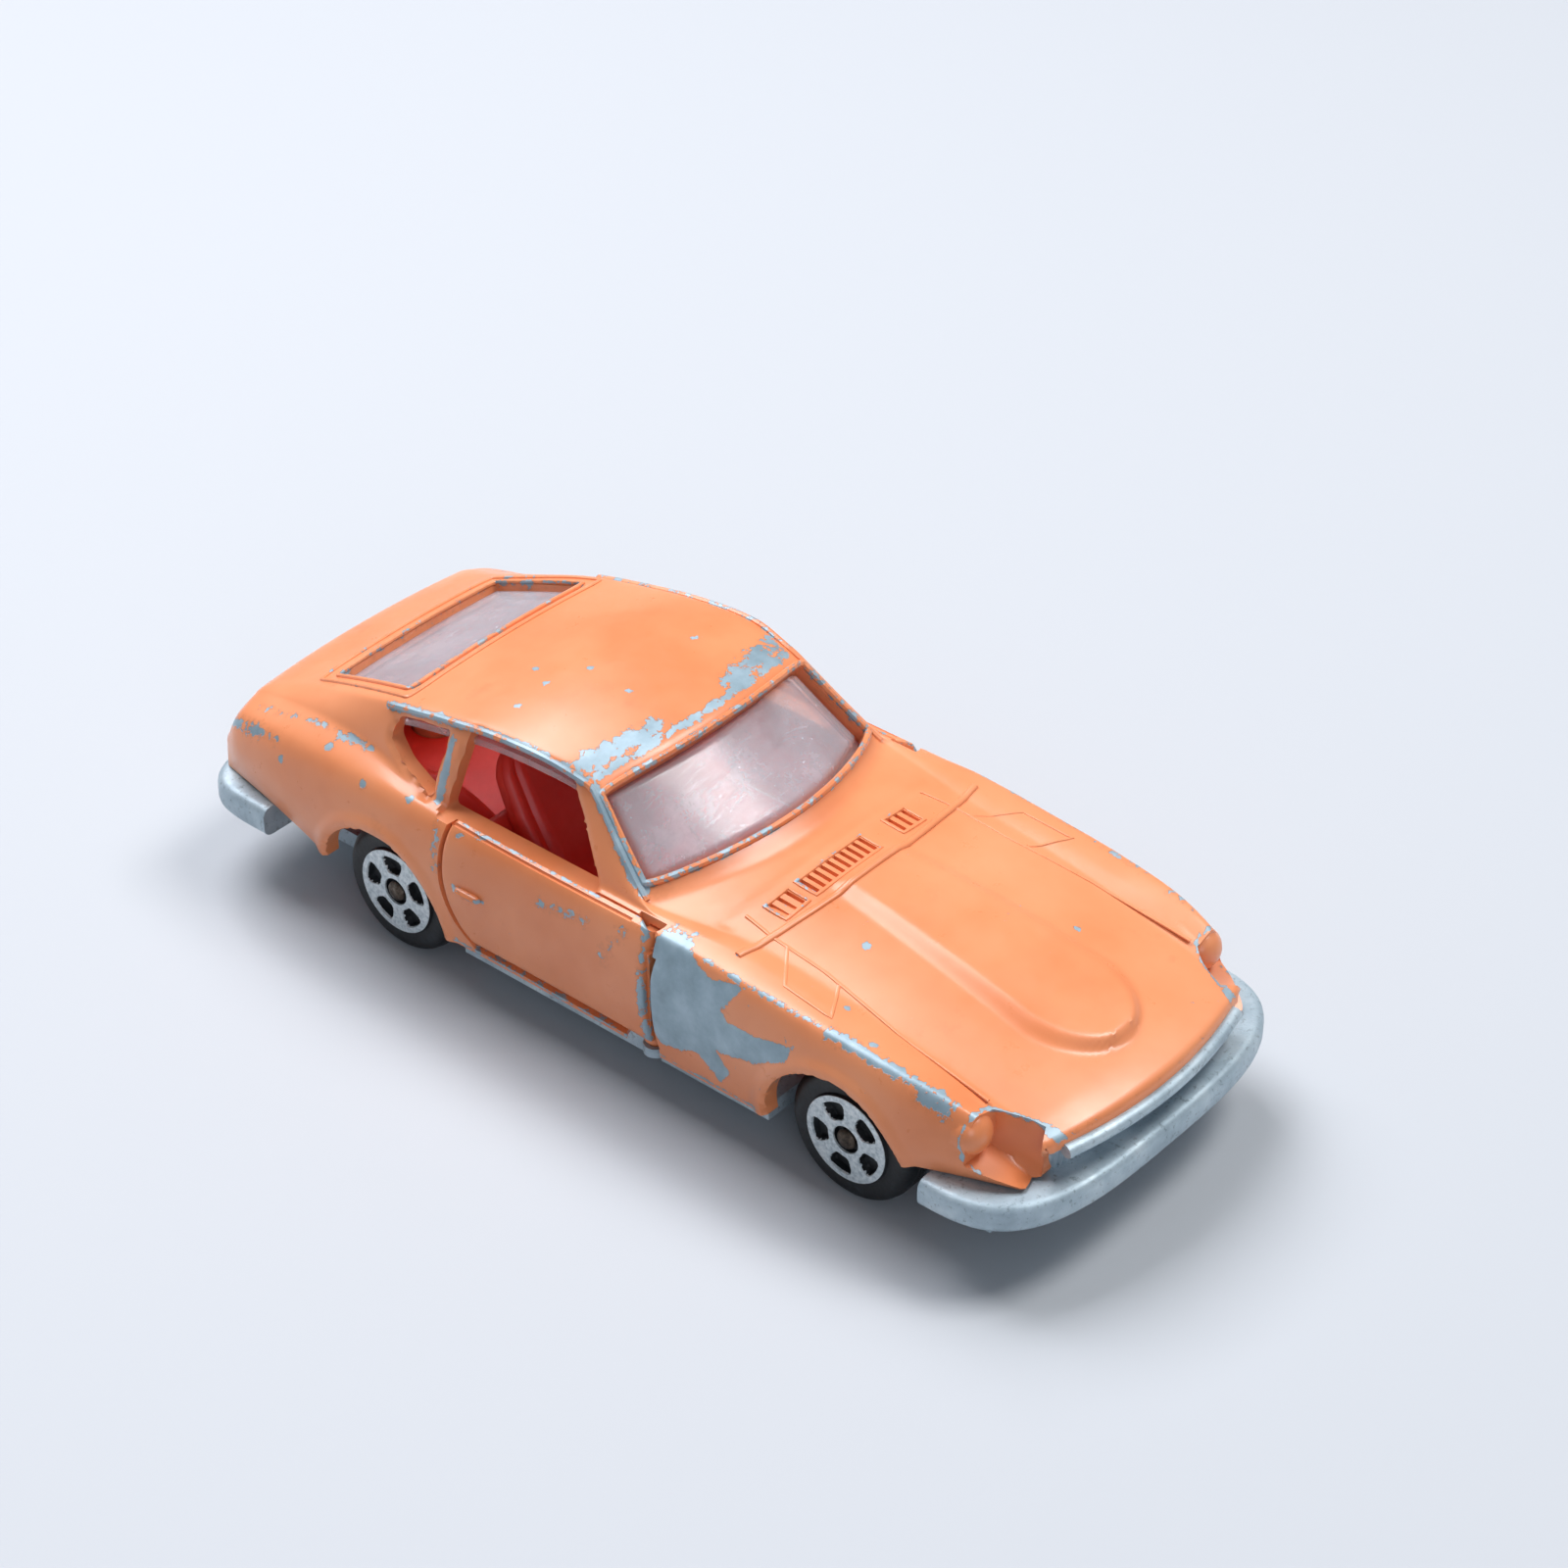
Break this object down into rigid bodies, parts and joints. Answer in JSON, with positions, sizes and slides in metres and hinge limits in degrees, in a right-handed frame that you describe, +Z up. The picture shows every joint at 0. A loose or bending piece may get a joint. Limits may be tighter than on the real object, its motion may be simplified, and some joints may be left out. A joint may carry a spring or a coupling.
{
  "type": "diecast collector car",
  "caption": "Small cast metal fastback coupe with opening doors, rolling wheels on sprung axles, clear windows and a moulded cabin.",
  "frame": {"origin": "middle of the car's length and width, on the ground", "axes": "+Y towards the tail, so the nose points to -Y; +X to the car's left; +Z up"},
  "size_m": [0.0288, 0.0718, 0.0206],
  "materials": {
    "paint": "orange enamel, worn through to the zinc on the edges",
    "bare_zinc": "tumbled zinc casting, dull",
    "spring_steel": "plain steel",
    "clear_plastic": "clear moulding, scuffed",
    "red_plastic": "moulded, half gloss",
    "black_plastic": "moulded, with a hot-stamped silver face"
  },
  "bodies": {
    "chassis": {"body_shell": "paint", "base_plate": "bare_zinc", "glazing": "clear_plastic", "interior": "red_plastic", "door_spring": "spring_steel", "axle_spring_front": "spring_steel", "axle_spring_rear": "spring_steel"},
    "door_left": {"door_left": "paint"},
    "door_right": {"door_right": "paint"},
    "axle_front": {"axle_front": "spring_steel"},
    "axle_rear": {"axle_rear": "spring_steel"},
    "wheel_front_left": {"wheel_front_left": "black_plastic"},
    "wheel_front_right": {"wheel_front_right": "black_plastic"},
    "wheel_rear_left": {"wheel_rear_left": "black_plastic"},
    "wheel_rear_right": {"wheel_rear_right": "black_plastic"}
  },
  "joints": [
    {"name": "door_left_swing", "type": "hinge", "parent": "chassis", "child": "door_left", "pos_m": [0.0122, -0.0048, 0.008], "axis": [0, 0, -1], "range_deg": [0, 50]},
    {"name": "door_right_swing", "type": "hinge", "parent": "chassis", "child": "door_right", "pos_m": [-0.0122, -0.0048, 0.008], "axis": [0, 0, 1], "range_deg": [0, 50]},
    {"name": "axle_front_travel", "type": "slide", "parent": "chassis", "child": "axle_front", "axis": [0, 0, 1], "range_m": [0, 0.0008], "stiffness_N_per_m": 1500, "springref_m": -0.0004, "deforming": ["axle_spring_front"]},
    {"name": "axle_rear_travel", "type": "slide", "parent": "chassis", "child": "axle_rear", "axis": [0, 0, 1], "range_m": [0, 0.0008], "stiffness_N_per_m": 1500, "springref_m": -0.0004, "deforming": ["axle_spring_rear"]},
    {"name": "wheel_front_left_spin", "type": "hinge", "parent": "axle_front", "child": "wheel_front_left", "pos_m": [0.0109, -0.0204, 0.0047], "axis": [1, 0, 0], "continuous": true},
    {"name": "wheel_front_right_spin", "type": "hinge", "parent": "axle_front", "child": "wheel_front_right", "pos_m": [-0.0109, -0.0204, 0.0047], "axis": [1, 0, 0], "continuous": true},
    {"name": "wheel_rear_left_spin", "type": "hinge", "parent": "axle_rear", "child": "wheel_rear_left", "pos_m": [0.0109, 0.018, 0.0047], "axis": [1, 0, 0], "continuous": true},
    {"name": "wheel_rear_right_spin", "type": "hinge", "parent": "axle_rear", "child": "wheel_rear_right", "pos_m": [-0.0109, 0.018, 0.0047], "axis": [1, 0, 0], "continuous": true}
  ]
}
